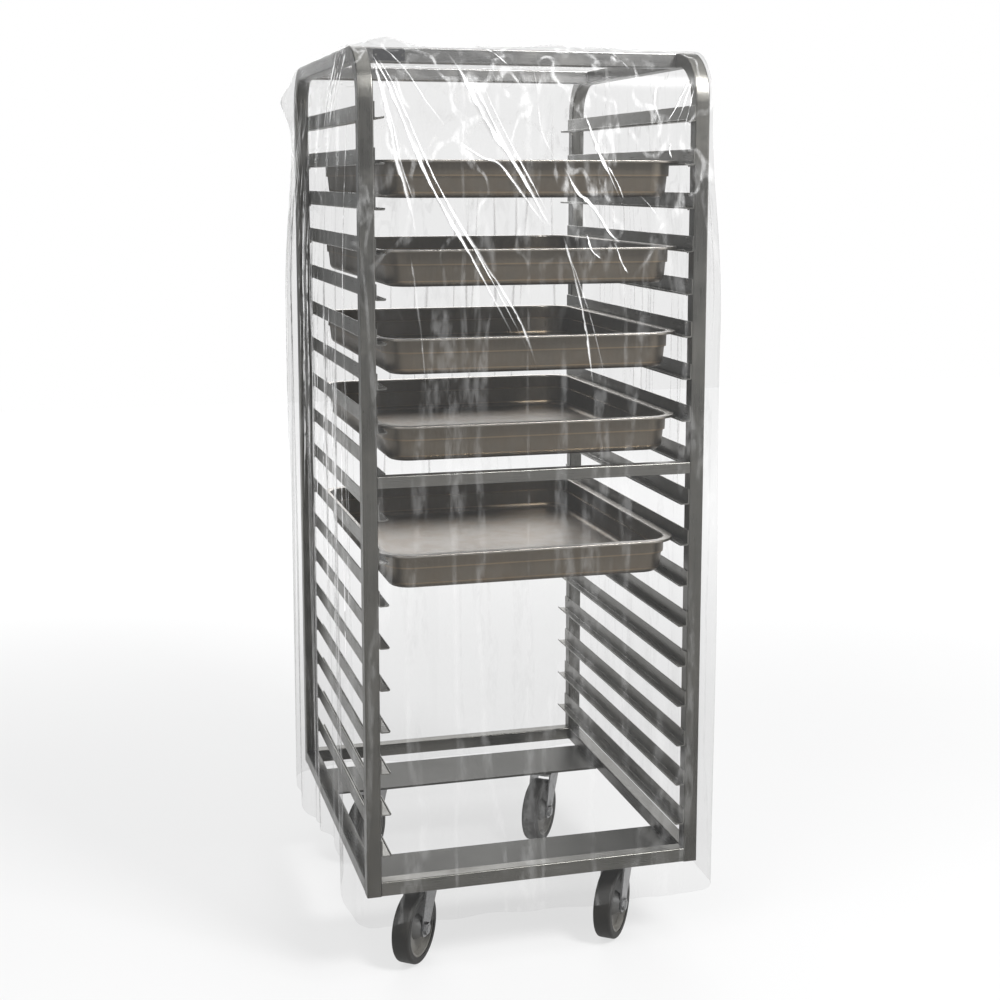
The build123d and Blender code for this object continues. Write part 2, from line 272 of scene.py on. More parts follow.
@dataclass(frozen=True)
class RolledDeck:
    """Rolled sheet with drag marks and scuffs from use."""

    name: str = "rolled_deck"
    light: Colour = (0.066, 0.065, 0.061)
    dark: Colour = (0.04, 0.039, 0.035)
    scuffed: Colour = (0.19, 0.185, 0.172)

    def make(self) -> bpy.types.Material:
        """Returns the material."""
        g = Graph(self.name)
        drag = g.grain(420.0, 3.0, stretch=Run.ACROSS.value)
        cloud = g.grain(7.0, 6.0, 0.65)
        scuff = g.grain(70.0, 5.0, 0.7, stretch=(0.15, 1.0, 1.0), turn=(0.0, 0.0, 0.5)).above(0.62, 0.72)
        tone = (drag * 0.35 + cloud * 0.8 - 0.12).clamped()
        g.surface(
            Base_Color=g.blend(scuff * 0.4, g.blend(tone, self.dark, self.light), self.scuffed),
            Metallic=0.95,
            Roughness=(0.36 + cloud * 0.2 + scuff * 0.1).clamped(),
            Normal=g.bump(drag * 0.7 + scuff * 0.3, 0.0001, 0.5),
        )
        return g.material


@dataclass(frozen=True)
class PressedPan:
    """Deep-drawn pan steel: fine sanding marks, baked-on tint in the floor and a painted highlight along
    the top of the rim.
    """

    name: str
    floor: float  # height of the pan's floor
    rim: float  # height of the pan's rim
    seed: float
    light: Colour = (0.17, 0.15, 0.123)
    dark: Colour = (0.065, 0.055, 0.042)
    tint: Colour = (0.10, 0.066, 0.036)
    stained: Colour = (0.20, 0.15, 0.095)
    # Pale colour of the rim's painted highlight.
    rim_highlight: Colour = (0.5, 0.48, 0.45)
    shoulder: float = 0.024  # below the rim's top, the step in the wall

    def make(self) -> bpy.types.Material:
        """Returns the material."""
        g = Graph(self.name)
        up = g.height()
        draw = g.grain(300.0, 3.0, stretch=(1.0, 1.0, 0.05))
        cloud = g.grain(8.0 + self.seed, 6.0, 0.62, turn=(self.seed, 0.3, 0.7))
        bloom = g.grain(30.0, 4.0, 0.6, turn=(0.2, self.seed, 0.1))
        low = 1 - up.above(self.floor, self.floor + 0.02)
        # Painted highlight: the top 3 mm of the rim is blended towards a pale colour, and made a little
        # smoother.
        rub_wear_and_highlight = up.above(self.rim - 0.0034, self.rim - 0.0028)
        stain = self._band(up, self.rim - self.shoulder - 0.0022, 0.0024)
        stain = stain + self._band(up, self.floor + 0.0075, 0.0022)
        tone = (draw * 0.3 + cloud * 0.75 - 0.05).clamped()
        base = g.blend(tone, self.dark, self.light)
        base = g.blend(((low * 0.5 + cloud * 0.35) * bloom.above(0.35, 0.7)).clamped(), base, self.tint)
        base = g.blend((stain * (0.35 + cloud * 0.6)).clamped(), base, self.stained)
        g.surface(
            Base_Color=g.blend(rub_wear_and_highlight * 0.35, base, self.rim_highlight),
            Metallic=0.97,
            Roughness=(0.27 + cloud * 0.16 + bloom * 0.08 - rub_wear_and_highlight * 0.05).clamped(),
            Normal=g.bump(draw * 0.6 + bloom * 0.4, 0.00008, 0.5),
        )
        return g.material

    @staticmethod
    def _band(up: Signal, bottom: float, tall: float, soft: float = 0.0006) -> Signal:
        """Returns 1 within a thin level band and 0 outside it, with soft edges."""
        return up.above(bottom, bottom + soft) * (1 - up.above(bottom + tall, bottom + tall + soft))


@dataclass(frozen=True)
class ZincPlate:
    """Bright zinc on pressed steel, with a little bloom and patches of dirt."""

    name: str = "zinc_plate"
    grey: Colour = (0.20, 0.20, 0.20)
    bright: Colour = (0.34, 0.34, 0.345)
    grime: Colour = (0.075, 0.068, 0.06)

    def make(self) -> bpy.types.Material:
        """Returns the material."""
        g = Graph(self.name)
        spangle = g.node(
            "ShaderNodeTexVoronoi", {"feature": "F1"}, {"Vector": g.place(), "Scale": 260.0}
        )
        dirt = g.grain(45.0, 5.0, 0.7).above(0.5, 0.75)
        base = g.blend(spangle, self.grey, self.bright)
        g.surface(
            Base_Color=g.blend(dirt * 0.6, base, self.grime),
            Metallic=1.0 - dirt * 0.35,
            Roughness=(0.33 + spangle * 0.12 + dirt * 0.2).clamped(),
            Normal=g.bump(dirt, 0.0002, 0.5),
        )
        return g.material


@dataclass(frozen=True)
class WheelPlastic:
    """Grey moulded wheel centre with scuffs and floor dust."""

    name: str = "wheel_plastic"
    clean: Colour = (0.085, 0.085, 0.083)
    dusty: Colour = (0.17, 0.16, 0.14)

    def make(self) -> bpy.types.Material:
        """Returns the material."""
        g = Graph(self.name)
        mould = g.grain(700.0, 2.0)
        dust = g.grain(38.0, 6.0, 0.7)
        low = 1 - g.height().above(0.01, 0.07)
        dirty = (dust * 0.8 + low * 0.5 - 0.35).clamped()
        g.surface(
            Base_Color=g.blend(dirty, self.clean, self.dusty),
            Roughness=(0.48 + dirty * 0.3 + mould * 0.05).clamped(),
            Normal=g.bump(mould * 0.3 + dust * 0.7, 0.00025, 0.5),
        )
        return g.material


@dataclass(frozen=True)
class TreadRubber:
    """Dark grey solid tyre, worn paler where it meets the floor."""

    name: str = "tread_rubber"
    clean: Colour = (0.008, 0.0075, 0.0062)
    dusty: Colour = (0.04, 0.037, 0.031)

    def make(self) -> bpy.types.Material:
        """Returns the material."""
        g = Graph(self.name)
        pores = g.grain(1100.0, 2.0)
        wear = g.grain(55.0, 6.0, 0.7)
        streak = g.grain(20.0, 4.0, 0.6, turn=(0.3, 0.2, 0.9))
        dust = (wear * 0.7 + streak * 0.5).above(0.55, 0.95)
        g.surface(
            Base_Color=g.blend(dust * 0.75, self.clean, self.dusty),
            Roughness=(0.56 + dust * 0.28 + pores * 0.06).clamped(),
            Normal=g.bump(pores * 0.4 + wear * 0.6, 0.0003, 0.6),
        )
        return g.material


@dataclass(frozen=True)
class DarkLacquer:
    """Dark lacquer of the blank name plate."""

    name: str = "dark_lacquer"
    lacquer: Colour = (0.018, 0.018, 0.02)
    # Here only the colour of rubbed lacquer, real wear.
    rub_wear_and_highlight: Colour = (0.09, 0.09, 0.09)

    def make(self) -> bpy.types.Material:
        """Returns the material."""
        g = Graph(self.name)
        peel = g.grain(800.0, 2.0)
        rub = g.grain(120.0, 5.0, 0.7).above(0.6, 0.75)
        g.surface(
            Base_Color=g.blend(rub * 0.3, self.lacquer, self.rub_wear_and_highlight),
            Roughness=(0.28 + rub * 0.25).clamped(),
            Coat_Weight=0.25,
            Normal=g.bump(peel, 0.00005, 0.4),
        )
        return g.material


@dataclass(frozen=True)
class ClearFilm:
    """Thin clear film: a grey veil flat on, milky and lighter where it is seen edge on, partly a painted
    sheen, with painted white highlights along its crinkles.
    """

    name: str = "clear_film"
    veil: float = 0.115
    lit: Colour = (0.16, 0.16, 0.158)
    # Colour seen edge on: the film's haze together with a painted sheen.
    haze_and_sheen: Colour = (0.42, 0.42, 0.412)
    glint: Colour = (0.95, 0.95, 0.95)

    def make(self) -> bpy.types.Material:
        """Returns the material."""
        g = Graph(self.name)
        fine = g.grain(30.0, 5.0, 0.62, stretch=(1.0, 1.0, 0.22))
        crinkle = g.grain(85.0, 4.0, 0.6, stretch=(1.0, 1.0, 0.35), turn=(0.3, 0.2, 0.1))
        streak = g.grain(13.0, 6.0, 0.7, stretch=(1.0, 1.0, 0.07)).above(0.56, 0.70)
        line = 1 - self._ridge(g, 11.0, (1.0, 1.0, 0.10), 0.035)
        wrinkle = 1 - self._ridge(g, 9.0, (1.0, 1.0, 0.6), 0.02)
        high = g.height().above(1.05, 1.5)
        low = 1 - g.height().above(0.3, 0.75)
        # Painted highlights: thin crinkle lines are made white and more opaque.
        painted_crease_glint = (line * 0.2 + wrinkle * high * 0.5) * crinkle.above(0.35, 0.65)
        edge = g.node("ShaderNodeLayerWeight", {}, {"Blend": 0.3}, "Facing")
        sheen = edge**4 * (0.6 + fine * 0.8)
        milk = self.veil + painted_crease_glint * 0.34 + streak * 0.02 + sheen * (0.28 + low * 0.3)
        g.surface(
            Base_Color=g.blend(
                (painted_crease_glint * 1.6).clamped(), g.blend(sheen.clamped(), self.lit, self.haze_and_sheen), self.glint
            ),
            Alpha=milk.clamped(),
            Roughness=(0.14 + fine * 0.14).clamped(),
            Normal=g.bump(fine * 0.6 + crinkle * 0.4, 0.003, 0.25),
            IOR=1.5,
        )
        return g.material

    @staticmethod
    def _ridge(g: Graph, scale: float, stretch: Point, width: float) -> Signal:
        """Returns 0 along thin wandering lines and 1 away from them."""
        wander = g.grain(scale, 2.0, 0.5, stretch=stretch)
        offset = wander - 0.5
        return (offset * offset).above(0.0, width * width)


@dataclass(frozen=True)
class PinchedFilm:
    """Film pinched into a narrow fold, painted lit on one flank and shaded on the other, with a painted
    glint glowing along its crease.
    """

    name: str = "pinched_film"
    opaque: float = 0.9
    glow: float = 0.62
    shaded: Colour = (0.13, 0.13, 0.128)
    glint: Colour = (0.95, 0.95, 0.95)

    def make(self) -> bpy.types.Material:
        """Returns the material."""
        g = Graph(self.name)
        crease = g.node("ShaderNodeAttribute", {"attribute_name": "crease"}, {}, "Fac")
        flank = g.node("ShaderNodeAttribute", {"attribute_name": "flank"}, {}, "Fac")
        sparkle = g.grain(160.0, 3.0, 0.6)
        patch = g.grain(24.0, 3.0, 0.6).above(0.35, 0.6)
        # Painted light and shade: one flank of the fold is painted lit, the other shaded.
        lit = (flank + patch * 0.35 - 0.1).above(0.38, 0.62)
        g.surface(
            Base_Color=g.blend(lit, self.shaded, self.glint),
            Alpha=(crease.above(0.0, 0.8) * (0.35 + lit * 0.55) * self.opaque).clamped(),
            Roughness=(0.2 + sparkle * 0.2).clamped(),
            # A painted glint: the lit side of the crease glows by emission, though it is no lamp.
            Emission_Color=g.blend(
                (crease * sparkle * lit * 1.6).clamped(), (0.0, 0.0, 0.0), (self.glow,) * 3
            ),
            Emission_Strength=1.0,
            Normal=g.bump(sparkle, 0.001, 0.5),
        )
        return g.material


@dataclass(frozen=True)
class PaleFloor:
    """Plain pale studio floor that runs out into white."""

    name: str = "pale_floor"
    plain_to: float = 0.75  # metres from the middle
    white_from: float = 4.6
    dark: Colour = (0.15, 0.15, 0.15)
    light: Colour = (0.16, 0.16, 0.16)
    near_glow: Colour = (0.66, 0.66, 0.66)
    far_glow: Colour = (1.0, 1.0, 1.0)

    def make(self) -> bpy.types.Material:
        """Returns the material."""
        g = Graph(self.name)
        spot = g.place(stretch=(1.0, 1.0, 0.0))
        away = g.node("ShaderNodeVectorMath", {"operation": "LENGTH"}, {0: spot}, "Value")
        cloud = g.grain(1.5, 2.0)
        g.surface(
            Base_Color=g.blend(cloud, self.dark, self.light),
            Roughness=0.75,
            Specular_IOR_Level=0.2,
            Emission_Color=g.blend(
                away.above(self.plain_to, self.white_from), self.near_glow, self.far_glow
            ),
            Emission_Strength=1.0,
        )
        return g.material


# --------------------------------------------------------------- mesh handling


def deselect() -> None:
    """Leaves nothing selected, in object mode."""
    if bpy.context.object and bpy.context.object.mode != "OBJECT":
        bpy.ops.object.mode_set(mode="OBJECT")
    bpy.ops.object.select_all(action="DESELECT")


def pick(piece: bpy.types.Object) -> bpy.types.Object:
    """Makes a piece the only selected and the active one.

    Args:
        piece: the object to work on.

    Returns:
        The same object.
    """
    deselect()
    piece.select_set(True)
    bpy.context.view_layer.objects.active = piece
    return piece


def settle_transform(piece: bpy.types.Object) -> None:
    """Moves a piece's place, turn and scale into its mesh."""
    pick(piece)
    bpy.ops.object.transform_apply(location=True, rotation=True, scale=True)


def dress(piece: bpy.types.Object, material: bpy.types.Material) -> None:
    """Gives a piece one material all over, and reports it."""
    if not piece.material_slots:
        piece.data.materials.append(material)
    for held in piece.material_slots:
        held.material = material
    LOG.info("dressed %s", piece.name)


def nodes_named(test: Callable[[str], bool]) -> Iterable[bpy.types.Object]:
    """Yields the frame's nodes whose names pass a test, in order."""
    for name in sorted(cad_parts):
        if test(name):
            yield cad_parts[name]


# ---------------------------------------------------------------- the assembly


@dataclass
class WeldedFrame:
    """Arches, bars, bottom tubes, decks and the blank plate."""

    turn: float = 0.03  # below the arches' top, where their grain turns over

    def dress(self) -> None:
        """Puts finishes on the frame's pieces."""
        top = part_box("left_arch")[1].z
        arch = GroundSteel("arch_steel", Run.UPRIGHT, turns_over_at=top - self.turn).make()
        cross = GroundSteel(
            "cross_tube_steel", Run.ACROSS, light=(0.24, 0.236, 0.222), dark=(0.09, 0.088, 0.08)
        ).make()
        deep = GroundSteel("side_tube_steel", Run.DEEP).make()
        deck = RolledDeck().make()
        lacquer = DarkLacquer().make()
        # The top bars get a lighter copy of the steel: a painted reflection of the light from above.
        bright = GroundSteel(
            "top_bar_painted_reflection_steel", Run.ACROSS, light=(0.28, 0.278, 0.272), dark=(0.155, 0.153, 0.149)
        ).make()
        for finish, names in (
            (arch, ("left_arch", "right_arch", "post_end_caps")),
            (bright, ("front_top_bar", "rear_top_bar")),
            (cross, ("front_mid_brace", "front_bottom_tube", "rear_bottom_tube", "name_plate_rivets")),
            (deep, ("left_bottom_tube", "right_bottom_tube")),
            (deck, ("front_castor_deck", "rear_castor_deck")),
            (lacquer, ("name_plate",)),
        ):
            for name in names:
                dress(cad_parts[name], finish)


@dataclass
class WeldBeads:
    """Weld beads where the ledge rails' legs meet the posts."""

    size: Point = (0.0022, 0.0035, 0.0032)  # half sizes of a bead
    leg: float = 0.0225  # from a ledge's underside up to the upper bead
    in_from_end: float = 0.0245  # a post's depth, from the rails' ends
    proud: float = 0.4  # of a bead's half width, how far its middle stands in from the leg
    uneven: float = 0.25
    turn: float = 2.4  # radians from one bead's unevenness to the next one's
    segments: int = 10

    def build(self) -> bpy.types.Object:
        """Returns all the beads as one piece."""
        made = []
        for rails in nodes_named(lambda name: name.startswith("rails_")):
            low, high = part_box(rails.name)
            for x in (low.x, high.x):
                inwards = math.copysign(self.size[0] * self.proud, -x)
                for y in (low.y + self.in_from_end, high.y - self.in_from_end):
                    for z in (low.z, low.z + self.leg):
                        made.append(self._bead((x + inwards, y, z), len(made)))
        pick(made[0])
        for bead in made:
            bead.select_set(True)
        bpy.ops.object.join()
        beads = bpy.context.object
        beads.name = "rail_welds"
        settle_transform(beads)
        bpy.ops.object.shade_smooth()
        steel = GroundSteel("weld_steel", Run.DEEP, light=(0.3, 0.29, 0.27), dark=(0.05, 0.047, 0.042))
        dress(beads, steel.make())
        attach(beads, "frame")
        return beads

    def _bead(self, spot: Point, number: int) -> bpy.types.Object:
        """Returns one flattened bead at a spot."""
        deselect()
        bpy.ops.mesh.primitive_uv_sphere_add(
            segments=self.segments, ring_count=self.segments // 2, radius=1.0, location=spot
        )
        bead = bpy.context.object
        bead.scale = tuple(
            side * (1 + self.uneven * math.sin(number * self.turn + axis))
            for axis, side in enumerate(self.size)
        )
        settle_transform(bead)
        return bead


@dataclass
class LedgeRails:
    """The pairs of folded ledge rails."""

    prefix: str = "rails_"

    def dress(self) -> None:
        """Puts a finish on every pair of rails."""
        steel = GroundSteel(
            "rail_steel", Run.DEEP, light=(0.24, 0.236, 0.222), dark=(0.12, 0.117, 0.107)
        ).make()
        for node in nodes_named(lambda name: name.startswith(self.prefix)):
            dress(node, steel)


@dataclass
class Pans:
    """The deep pans on their levels."""

    prefix: str = "pan_"
    first_seed: float = 0.7

    def dress(self) -> None:
        """Gives each pan its own wear."""
        for number, node in enumerate(nodes_named(lambda name: name.startswith(self.prefix))):
            low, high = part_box(node.name)
            steel = PressedPan(f"{node.name}_steel", low.z, high.z, self.first_seed + number)
            dress(node, steel.make())


@dataclass
class Castors:
    """The four swivel castors."""

    def dress(self) -> None:
        """Puts finishes on every castor's pieces."""
        zinc, plastic, rubber = ZincPlate().make(), WheelPlastic().make(), TreadRubber().make()
        finishes = {"castor_plate": zinc, "fork": zinc, "axle": zinc, "hub": plastic, "tyre": rubber}
        for corner in Castor:
            for part, finish in finishes.items():
                dress(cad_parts[f"{corner.value}_{part}"], finish)
        for name in ("castor_studs", "swivel_races"):
            dress(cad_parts[name], zinc)


@dataclass(frozen=True)
class Pinch:
    """One pinched fold: its path as (across, down from the top) places on a wall, and its width."""

    path: tuple[tuple[float, float], ...]
    width: float = 0.007
    strength: float = 1.0

    def at(self, t: float) -> tuple[float, float]:
        """Returns the place on the path at t from 0 to 1, on a smooth curve through its points."""
        last = len(self.path) - 1
        step = min(int(t * last), last - 1)
        part = t * last - step
        near = [self.path[min(max(step + k, 0), last)] for k in (-1, 0, 1, 2)]
        weights = (
            -0.5 * part**3 + part**2 - 0.5 * part,
            1.5 * part**3 - 2.5 * part**2 + 1,
            -1.5 * part**3 + 2 * part**2 + 0.5 * part,
            0.5 * part**3 - 0.5 * part**2,
        )
        return tuple(sum(w * spot[axis] for w, spot in zip(weights, near)) for axis in (0, 1))


@dataclass(frozen=True)
class Scatter:
    """Pinched folds spread over one wall."""

    wall: Wall
    half: float  # half the width that they are spread over
    count: int
    seed: float


@dataclass(frozen=True)
class Hump:
    """A smooth rise in the film."""

    height: float
    middle: tuple[float, float]
    spread: tuple[float, float]

    def rise(self, u: float, v: float) -> float:
        """Returns how far the film is raised at (u, v)."""
        across = (u - self.middle[0]) / self.spread[0]
        along = (v - self.middle[1]) / self.spread[1]
        return self.height * math.exp(-(across**2) - along**2)


TENT = Hump(0.013, (-0.235, -0.235), (0.032, 0.11))  # on the top, by the front left corner
CREST = Hump(0.006, (0.05, -0.24), (0.05, 0.08))  # on the top, over the front top bar
EAR = Hump(0.024, (0.31, 1.50), (0.07, 0.035))  # on the left wall, by its rear top corner
SCATTERS = (
    Scatter(Wall.LEFT, 0.34, 44, 4.0),
    Scatter(Wall.RIGHT, 0.34, 18, 5.0),
    Scatter(Wall.BACK, 0.27, 16, 4.0),
)
FRONT_PINCHES = (
    Pinch(((-0.274, 0.022), (-0.255, 0.10), (-0.242, 0.17), (-0.219, 0.246), (-0.202, 0.317)), 0.015, 0.7),
    Pinch(((-0.270, 0.050), (-0.246, 0.12), (-0.230, 0.19), (-0.205, 0.26)), 0.006, 0.8),
    Pinch(((-0.278, 0.012), (-0.237, 0.10), (-0.180, 0.229), (-0.106, 0.363), (-0.037, 0.50)), 0.010),
    Pinch(((-0.272, 0.014), (-0.228, 0.10), (-0.170, 0.226), (-0.094, 0.362), (-0.020, 0.51)), 0.007, 0.9),
    Pinch(((-0.150, 0.265), (-0.100, 0.345), (-0.045, 0.44), (-0.010, 0.53)), 0.010, 0.55),
    Pinch(((-0.264, 0.010), (-0.225, 0.045), (-0.192, 0.089), (-0.138, 0.155)), 0.006, 0.5),
    Pinch(((-0.142, 0.152), (-0.100, 0.180), (-0.067, 0.195), (-0.030, 0.245), (0.020, 0.307)), 0.011),
    Pinch(((-0.151, 0.005), (-0.113, 0.083), (-0.084, 0.136), (-0.037, 0.203), (0.025, 0.31)), 0.013),
    Pinch(((-0.118, 0.050), (-0.072, 0.14), (-0.026, 0.225), (0.021, 0.307)), 0.009),
    Pinch(((-0.100, 0.060), (-0.060, 0.14), (-0.012, 0.230), (0.026, 0.310)), 0.006, 0.7),
    Pinch(((-0.100, 0.001), (-0.072, 0.014), (-0.040, 0.046)), 0.005, 0.8),
    Pinch(((-0.008, 0.030), (-0.003, 0.10), (0.006, 0.148), (0.041, 0.215)), 0.006, 0.45),
    Pinch(((0.036, 0.190), (0.060, 0.235), (0.084, 0.258), (0.110, 0.30), (0.138, 0.325)), 0.012, 0.9),
    Pinch(((0.076, 0.108), (0.090, 0.150), (0.105, 0.185), (0.138, 0.258)), 0.011),
    Pinch(((0.112, 0.190), (0.128, 0.22), (0.140, 0.25)), 0.006, 0.8),
    Pinch(((0.262, 0.052), (0.240, 0.088), (0.219, 0.123)), 0.006),
    Pinch(((0.264, 0.058), (0.249, 0.092), (0.234, 0.128)), 0.005),
    Pinch(((0.266, 0.070), (0.258, 0.10), (0.248, 0.135)), 0.005, 0.8),
    Pinch(((0.206, 0.050), (0.196, 0.09), (0.210, 0.125)), 0.009, 0.6),
    Pinch(((0.224, 0.155), (0.221, 0.17), (0.226, 0.182)), 0.007),
    Pinch(((0.120, 0.001), (0.134, 0.014), (0.160, 0.044)), 0.006, 0.8),
    Pinch(((0.165, 0.240), (0.185, 0.262), (0.200, 0.285)), 0.005, 0.6),
    Pinch(((0.072, 0.300), (0.080, 0.330), (0.098, 0.345)), 0.008, 0.9),
    Pinch(((0.118, 0.315), (0.130, 0.350), (0.142, 0.37)), 0.006, 0.8),
    Pinch(((0.032, 0.298), (0.059, 0.416), (0.085, 0.586)), 0.009, 0.5),
    Pinch(((0.040, 0.330), (0.072, 0.43), (0.105, 0.56)), 0.006, 0.4),
    Pinch(((-0.215, 0.330), (-0.200, 0.45), (-0.190, 0.58)), 0.008, 0.3),
)


@dataclass
class FilmCover:
    """The loose film bag over the rack, with its folds and pinched creases."""

    cell: float = 0.0115
    top_gap: float = 0.002  # film above the arches
    side_gap: float = 0.004  # film outside the arches at their tops
    bend: float = 0.085  # outside radius of the arches' bends
    flare_side: float = 0.018
    flare_end: float = 0.036
    flare_run: float = 0.42  # height over which the walls swing out
    tight_corner: float = 0.004  # corner radius at the top
    corner: float = 0.034  # corner radius lower down
    corner_run: float = 0.5  # height over which the one becomes the other
    settle_run: float = 0.10  # height over which the walls leave the arches' shape
    top_sag: float = 0.010
    top_edge: float = 0.03  # width over which the top sheet's waves die away
    fold_depth: float = 0.0042
    skirt: float = 0.037  # below the frame's underside
    pinch_rise: float = 0.0022
    pinch_spread: float = 0.4  # half of a crease's drawn width, as a share of its stated width
    pinch_steps: int = 44
    pinch_lift: float = 0.0006  # a crease's edges above the film
    fold_lift: float = 0.0015
    left_folds: float = 1.35  # how much deeper the left wall's folds are
    notch: Point = (0.052, -0.115, 0.15)  # height, place and half width of the rise in the left hem
    fan_count: int = 12  # creases that fan out from the left wall's front top corner

    def __post_init__(self) -> None:
        """Works out the bag's box from the arches that it hangs on."""
        low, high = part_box("left_arch")
        self.top = high.z + self.top_gap
        self.hem = low.z - self.skirt
        self.wide = -low.x + self.side_gap
        self.bend_start = high.y - self.bend
        self.bend_radius = self.bend + self.top_gap
        self.deep = self.bend_start + self.bend_radius * math.pi / 2

    def build(self) -> bpy.types.Object:
        """Returns the finished film.

        Returns:
            The film, shaped, creased and dressed.
        """
        film = self._bag()
        clear = ClearFilm().make()
        dress(film, clear)
        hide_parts("film_cover")
        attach(film, "cover")
        creases = self._creases()
        dress(creases, PinchedFilm().make())
        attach(creases, "cover")
        return film

    def _bag(self) -> bpy.types.Object:
        """Draws a grid down into a box-shaped bag, then shapes it."""
        height = self.top - self.hem
        rows = round(height / self.cell)
        deselect()
        bpy.ops.mesh.primitive_grid_add(
            x_subdivisions=2 * round(self.wide / self.cell),
            y_subdivisions=2 * round(self.deep / self.cell),
            size=2.0,
            location=(0.0, 0.0, self.top),
        )
        bag = bpy.context.object
        bag.name = "film_bag"
        bag.scale = (self.wide, self.deep, 1.0)
        settle_transform(bag)
        bpy.ops.object.mode_set(mode="EDIT")
        bpy.ops.mesh.select_mode(type="EDGE")
        bpy.ops.mesh.select_all(action="SELECT")
        bpy.ops.mesh.region_to_loop()
        for _ in range(rows):
            bpy.ops.mesh.extrude_region_move(
                TRANSFORM_OT_translate={"value": (0.0, 0.0, -height / rows)}
            )
        bpy.ops.mesh.select_all(action="SELECT")
        bpy.ops.mesh.normals_make_consistent(inside=False)
        bpy.ops.object.mode_set(mode="OBJECT")
        for vertex in bag.data.vertices:
            vertex.co = self.lie(vertex.co.x, vertex.co.y, self.top - vertex.co.z)
        pick(bag)
        bpy.ops.object.shade_smooth()
        return bag

    def lie(self, x: float, y: float, down: float) -> Vector:
        """Returns where a point of the box-shaped bag comes to lie.

        Args:
            x: the point's place across the box.
            y: the point's place along the box.
            down: how far below the box's top it is.

        Returns:
            The point on the draped film.
        """
        over = max(0.0, abs(y) - self.bend_start) / self.bend_radius
        ridge_y = min(abs(y), self.bend_start) + self.bend_radius * math.sin(over)
        ridge_z = self.top - self.bend_radius * (1 - math.cos(over))
        if down < TOUCH:
            return Vector((x, math.copysign(ridge_y, y), ridge_z + self._top_lift(x, y)))
        run = self._run_along(x, y)
        fall = down / (self.top - self.hem)
        swing = self._ease(down / self.flare_run)
        a = self.wide + self.flare_side * swing
        b = self.bend_start + self.bend_radius + self.flare_end * swing
        settle = self._ease(down / self.settle_run)
        px = abs(x) / self.wide * a
        py = ridge_y + (abs(y) / self.deep * b - ridge_y) * settle
        radius = self.tight_corner + (self.corner - self.tight_corner) * self._ease(down / self.corner_run)
        px, py, out = self._round_corner(px, py, a, b, radius, abs(abs(x) - self.wide) < TOUCH)
        spot = Vector((math.copysign(px, x), math.copysign(py, y), 0.0))
        out = Vector((math.copysign(out[0], x), math.copysign(out[1], y), 0.0))
        lowest = self.hem + self._hem_wave(spot.x, spot.y, run)
        spot.z = ridge_z + (lowest - ridge_z) * fall
        spot += out * self._fold(run, spot, fall)
        return spot

    @staticmethod
    def _ease(t: float) -> float:
        """Returns a smooth step of t between 0 and 1."""
        t = min(max(t, 0.0), 1.0)
        return t * t * (3 - 2 * t)

    @staticmethod
    def _round_corner(
        x: float, y: float, a: float, b: float, r: float, on_side: bool
    ) -> tuple[float, float, tuple[float, float]]:
        """Rounds the plan's corner.

        Args:
            x: distance across from the middle.
            y: distance along from the middle.
            a: half the width.
            b: half the depth.
            r: corner radius.
            on_side: whether the point is on a side wall, not an end wall.

        Returns:
            The new x and y, and the direction that faces outwards there.
        """
        half_arc = r * math.pi / 4
        along, full = (y, b) if on_side else (x, a)
        straight = full - half_arc
        if along <= straight:
            moved = along / straight * (full - r)
            return (a, moved, (1.0, 0.0)) if on_side else (moved, b, (0.0, 1.0))
        turn = (along - straight) / half_arc * math.pi / 4
        near, far = math.cos(turn), math.sin(turn)
        if on_side:
            return a - r + r * near, b - r + r * far, (near, far)
        return a - r + r * far, b - r + r * near, (far, near)

    def _run_along(self, x: float, y: float) -> float:
        """Returns how far round the bag a wall's point lies, in metres, from the front left corner."""
        wide, deep = self.wide, self.deep
        if abs(abs(x) - wide) < TOUCH:
            return 2 * wide + y + deep if x > 0 else 4 * wide + 3 * deep - y
        return x + wide if y < 0 else 3 * wide + 2 * deep - x

    def _top_lift(self, x: float, y: float) -> float:
        """Returns how far the top sheet lies above or below the tubes' tops."""
        inside = (1 - (x / self.wide) ** 2) * (1 - min(1.0, abs(y) / self.bend_start) ** 2)
        ripple = noise.noise(Vector((x * 7.0, y * 4.0, 1.7))) * 0.004 + 0.003
        raised = TENT.rise(x, y) + CREST.rise(x, y) + max(0.0, ripple)
        edge = self._ease((self.wide - abs(x)) / self.top_edge)
        return raised * edge - self.top_sag * inside * edge

    def _hem_wave(self, x: float, y: float, run: float) -> float:
        """Returns how far the hem is above its usual height."""
        wave = 0.004 * math.sin(run * 11.0) + 0.003 * math.sin(run * 27.0 + 1.0)
        if x < -self.wide + self.corner:
            height, middle, spread = self.notch
            wave += height * math.exp(-(((y - middle) / spread) ** 2))
        return wave

    def _fold(self, run: float, spot: Vector, fall: float) -> float:
        """Returns how far a wall's point is pushed outwards by the folds."""
        drift = 0.25 * math.sin(spot.z * 2.3 + run * 1.7)
        wave = math.sin((run + 0.03 * drift) * 52.0) * 0.6 + math.sin(run * 23.0 + 1.9 + drift) * 0.8
        wave += 1.6 * noise.noise(Vector((run * 13.0, spot.z * 1.3, 3.0)))
        push = self.fold_depth * wave * self._ease(fall * 3.0)
        if spot.x < 0:
            push *= self.left_folds
        if spot.x < -0.28:
            push += EAR.rise(spot.y, spot.z)
        return push + self.fold_lift

    def _creases(self) -> bpy.types.Object:
        """Returns all the pinched folds as one piece."""
        made = []
        for number, (wall, pinch) in enumerate(self._pinches()):
            made.append(self._ribbon(wall, pinch, number))
        deselect()
        for ribbon in made:
            ribbon.select_set(True)
        bpy.context.view_layer.objects.active = made[0]
        bpy.ops.object.join()
        piece = bpy.context.object
        piece.name = "film_creases"
        bpy.ops.object.shade_smooth()
        return piece

